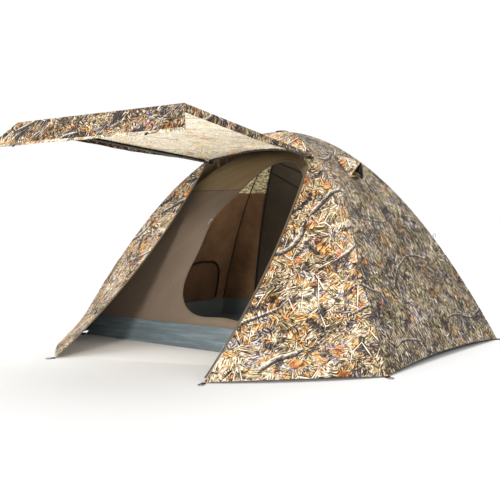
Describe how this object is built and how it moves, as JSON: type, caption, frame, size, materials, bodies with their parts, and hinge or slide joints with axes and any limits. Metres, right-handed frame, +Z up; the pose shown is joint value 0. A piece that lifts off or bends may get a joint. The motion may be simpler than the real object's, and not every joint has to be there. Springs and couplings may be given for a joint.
{
  "type": "dome tent blind",
  "caption": "Camouflage dome tent blind: domed fly with roof vents, vestibule with a swing-up awning door, and an inner tent with a zipped doorway.",
  "frame": {"origin": "the middle of the groundsheet's underside, on the ground", "axes": "+Z up, -Y out through the door, +X to the right seen from the front's own left-to-right, so the door's awning reaches towards -Y"},
  "size_m": [2.2646, 2.3357, 1.253],
  "materials": {
    "camo_cloth": "camouflage print on coated polyester",
    "inner_cloth": "uncoated ripstop",
    "mesh": "fine insect mesh",
    "tub_cloth": "coated groundsheet cloth",
    "webbing": "woven webbing and zip tape",
    "pole_rod": "fibreglass rod",
    "fittings": "moulded fittings",
    "metal": "zip and eyelet metal"
  },
  "bodies": {
    "tent": {"floor_sheet": "tub_cloth", "tub_walls": "tub_cloth", "inner_front_wall": "inner_cloth", "inner_back_wall": "inner_cloth", "inner_left_wall": "inner_cloth", "inner_right_wall": "inner_cloth", "inner_left_mesh": "mesh", "inner_right_mesh": "mesh", "inner_door_zip": "webbing", "inner_door_roll": "inner_cloth", "door_ties": "webbing", "wall_pocket": "inner_cloth", "lantern_loop": "webbing", "pole_a": "pole_rod", "pole_b": "pole_rod", "pole_ferrules": "metal", "pole_feet": "fittings", "pole_clips": "fittings", "apex_clip": "fittings", "corner_straps": "webbing", "corner_buckles": "fittings", "corner_eyelets": "metal", "vestibule_straps": "webbing", "vestibule_eyelets": "metal", "fly_front_roof": "camo_cloth", "fly_right_panel": "camo_cloth", "fly_left_panel": "camo_cloth", "fly_back_panel": "camo_cloth", "apex_patch": "webbing", "vestibule_right_panel": "camo_cloth", "vestibule_left_panel": "camo_cloth", "guy_loops": "webbing", "brow_batten": "pole_rod", "brow_brackets": "fittings", "tie_straps": "webbing", "vent_mesh_right": "mesh", "vent_mesh_left": "mesh", "strut_bases": "fittings", "zip_tape_right": "webbing", "zip_tape_left": "webbing", "edge_toggles": "fittings", "vent_hood_right": "camo_cloth", "vent_hood_left": "camo_cloth"},
    "awning": {"awning_panel": "camo_cloth", "awning_skirts": "camo_cloth", "awning_stays": "pole_rod", "awning_ridge_stay": "pole_rod", "awning_sockets": "fittings"},
    "valance": {"valance_panel": "camo_cloth", "valance_loops": "webbing"},
    "right_strut": {"vent_strut_right": "fittings"},
    "left_strut": {"vent_strut_left": "fittings"},
    "right_slider": {"zip_slider_right": "metal"},
    "left_slider": {"zip_slider_left": "metal"},
    "right_pull": {"zip_pull_right": "metal"},
    "left_pull": {"zip_pull_left": "metal"},
    "doorway_slider": {"door_slider": "metal"},
    "doorway_pull": {"door_pull": "metal"}
  },
  "joints": [
    {"name": "awning_swing", "type": "hinge", "parent": "tent", "child": "awning", "pos_m": [0, -0.262, 1.06193], "axis": [1, 0, 0], "range_deg": [0, 49]},
    {"name": "valance_fold", "type": "hinge", "parent": "awning", "child": "valance", "pos_m": [0, -1.49, 1.206], "axis": [1, 0, 0], "range_deg": [-49, 0]},
    {"name": "right_strut_fold", "type": "hinge", "parent": "tent", "child": "right_strut", "pos_m": [0.50857, 0.02971, 0.9536], "axis": [0, 1, 0], "range_deg": [0, 112]},
    {"name": "left_strut_fold", "type": "hinge", "parent": "tent", "child": "left_strut", "pos_m": [-0.50857, 0.02971, 0.9536], "axis": [0, -1, 0], "range_deg": [0, 112]},
    {"name": "right_zip_slide", "type": "slide", "parent": "tent", "child": "right_slider", "axis": [-0.0841, 0.7755, 0.6257], "range_m": [0, 0.18]},
    {"name": "left_zip_slide", "type": "slide", "parent": "tent", "child": "left_slider", "axis": [0.0841, 0.7755, 0.6257], "range_m": [0, 0.18]},
    {"name": "right_pull_swing", "type": "hinge", "parent": "right_slider", "child": "right_pull", "pos_m": [0.48394, -1.14187, 0.13868], "axis": [-0.9964, -0.0596, -0.0601], "range_deg": [0, 120]},
    {"name": "left_pull_swing", "type": "hinge", "parent": "left_slider", "child": "left_pull", "pos_m": [-0.48394, -1.14187, 0.13868], "axis": [-0.9964, 0.0596, 0.0601], "range_deg": [0, 120]},
    {"name": "doorway_zip_slide", "type": "slide", "parent": "tent", "child": "doorway_slider", "axis": [0.3585, 0.397, 0.8449], "range_m": [-0.03, 0.04]},
    {"name": "doorway_pull_swing", "type": "hinge", "parent": "doorway_slider", "child": "doorway_pull", "pos_m": [-0.2187, -0.40676, 0.71599], "axis": [-0.9335, 0.1541, 0.3237], "range_deg": [0, 120]}
  ],
  "couplings": [
    {"joint": "valance_fold", "follows": "awning_swing", "ratio": -1}
  ]
}
